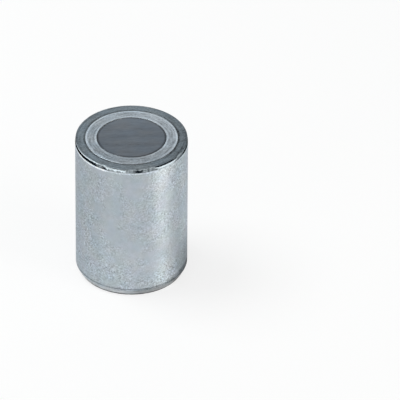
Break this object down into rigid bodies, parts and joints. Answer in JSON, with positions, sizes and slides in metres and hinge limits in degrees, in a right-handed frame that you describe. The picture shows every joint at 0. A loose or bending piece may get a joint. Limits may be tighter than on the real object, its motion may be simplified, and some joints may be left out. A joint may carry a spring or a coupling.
{
  "type": "pot magnet",
  "caption": "Deep round pot magnet: a steel pot around a sleeved magnet, with a ground holding face and a threaded hole in the back.",
  "frame": {"origin": "centre of the back face, which is the face with the threaded hole and the one that the part stands on", "axes": "+Z along the part's own axis, from the back face to the magnetic face; X and Y are any two directions across it, since the part is round"},
  "size_m": [0.013, 0.013, 0.018],
  "materials": {
    "zinc_plated_steel": "matt bright zinc plating on the outside and the back, with the magnetic face ground back to bare steel",
    "sleeve_aluminium": "ground flush with the face, fine grinding lines",
    "cast_magnet": "ground flush with the face, dark grey, faint straight grinding lines"
  },
  "bodies": {
    "root": {"steel_pot": "zinc_plated_steel", "spacer_sleeve": "sleeve_aluminium", "magnet_core": "cast_magnet"}
  },
  "joints": []
}
